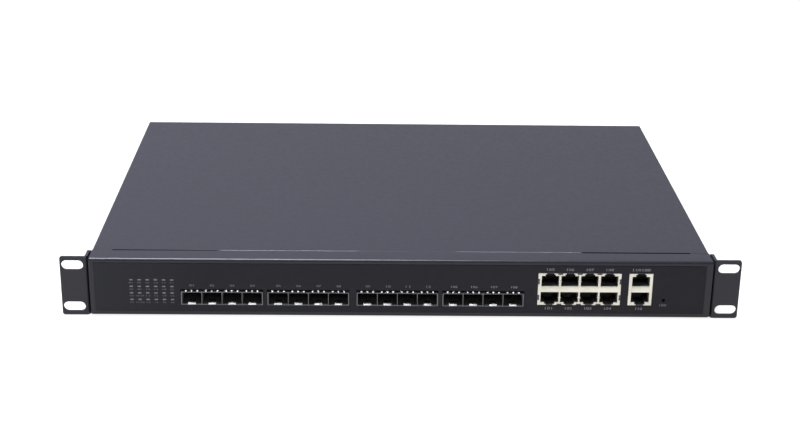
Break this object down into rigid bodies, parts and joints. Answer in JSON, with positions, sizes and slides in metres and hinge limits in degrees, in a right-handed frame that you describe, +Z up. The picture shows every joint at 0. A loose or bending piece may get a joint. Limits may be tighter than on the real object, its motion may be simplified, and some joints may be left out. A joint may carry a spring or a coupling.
{
  "type": "rackmount network switch",
  "caption": "One-unit rackmount network switch: folded steel casing with rack ears, optics cages, modular jacks, boards, mains supply and fans.",
  "frame": {"origin": "centre of the object's bounding box, on the surface that its four feet rest on", "axes": "+X to the right as the ports are seen, +Y from the ports to the rear panel, +Z up"},
  "size_m": [0.4826, 0.3224, 0.0452],
  "materials": {
    "casing_paint": "fine textured dark blue-grey powder coat",
    "front_film": "satin printed polyester film",
    "nickel_plate": "satin nickel plate, slightly warm",
    "zinc_steel": "bright zinc",
    "brass": "plain brass",
    "aluminium": "extruded, satin",
    "black_plastic": "moulded, fine grain",
    "light_guide": "milky clear acrylic",
    "rubber": "matt moulded rubber",
    "circuit_board": "green solder mask on glass epoxy",
    "capacitor_sleeve": "shrink sleeve",
    "transformer_tape": "yellow polyester tape",
    "brown_wire": "pvc insulation",
    "blue_wire": "pvc insulation",
    "green_wire": "pvc insulation",
    "black_wire": "pvc insulation"
  },
  "bodies": {
    "casing": {"chassis_base": "casing_paint", "top_cover": "casing_paint", "front_panel": "casing_paint", "ear_left": "casing_paint", "ear_right": "casing_paint", "spare_bay_plate": "casing_paint", "front_overlay": "front_film", "sfp_cage_1": "nickel_plate", "sfp_cage_2": "nickel_plate", "sfp_cage_3": "nickel_plate", "sfp_cage_4": "nickel_plate", "rj45_block_8": "nickel_plate", "rj45_block_2": "nickel_plate", "ear_screw_left_1": "zinc_steel", "ear_screw_left_2": "zinc_steel", "ear_screw_left_3": "zinc_steel", "ear_screw_right_1": "zinc_steel", "ear_screw_right_2": "zinc_steel", "ear_screw_right_3": "zinc_steel", "cover_screw_1": "zinc_steel", "cover_screw_2": "zinc_steel", "cover_screw_3": "zinc_steel", "foot_front_left": "rubber", "foot_front_right": "rubber", "foot_rear_left": "rubber", "foot_rear_right": "rubber", "led_light_pipe": "light_guide", "reset_switch_body": "black_plastic", "main_board": "circuit_board", "psu_board": "circuit_board", "switch_chip": "black_plastic", "optics_chip": "black_plastic", "switch_heatsink": "aluminium", "optics_heatsink": "aluminium", "psu_heatsink": "aluminium", "psu_transformer": "transformer_tape", "psu_capacitor": "capacitor_sleeve", "ac_inlet": "black_plastic", "power_switch_frame": "black_plastic", "inlet_pin_live": "brass", "inlet_pin_earth": "brass", "inlet_pin_neutral": "brass", "earth_stud": "brass", "earth_nut": "brass", "fan_frame_1": "black_plastic", "fan_lead_1": "black_wire", "fan_frame_2": "black_plastic", "fan_lead_2": "black_wire", "fan_frame_3": "black_plastic", "fan_lead_3": "black_wire", "live_wire_in": "brown_wire", "live_wire_out": "brown_wire", "neutral_wire": "blue_wire", "earth_wire": "green_wire", "dc_harness": "black_wire"},
    "rocker": {"power_rocker": "black_plastic"},
    "reset": {"reset_button": "black_plastic"},
    "rotor_1": {"fan_rotor_1": "black_plastic"},
    "rotor_2": {"fan_rotor_2": "black_plastic"},
    "rotor_3": {"fan_rotor_3": "black_plastic"}
  },
  "joints": [
    {"name": "power_rocker_tilt", "type": "hinge", "parent": "casing", "child": "rocker", "pos_m": [-0.147, 0.15537, 0.0229], "axis": [1, 0, 0], "range_deg": [-24, 0]},
    {"name": "reset_press", "type": "slide", "parent": "casing", "child": "reset", "axis": [0, 1, 0], "range_m": [0, 0.0003], "stiffness_N_per_m": 1500},
    {"name": "fan_spin_1", "type": "hinge", "parent": "casing", "child": "rotor_1", "pos_m": [-0.066, 0.14347, 0.02325], "axis": [0, 1, 0], "continuous": true},
    {"name": "fan_spin_2", "type": "hinge", "parent": "casing", "child": "rotor_2", "pos_m": [-0.011, 0.14347, 0.02325], "axis": [0, 1, 0], "continuous": true},
    {"name": "fan_spin_3", "type": "hinge", "parent": "casing", "child": "rotor_3", "pos_m": [0.044, 0.14347, 0.02325], "axis": [0, 1, 0], "continuous": true}
  ]
}
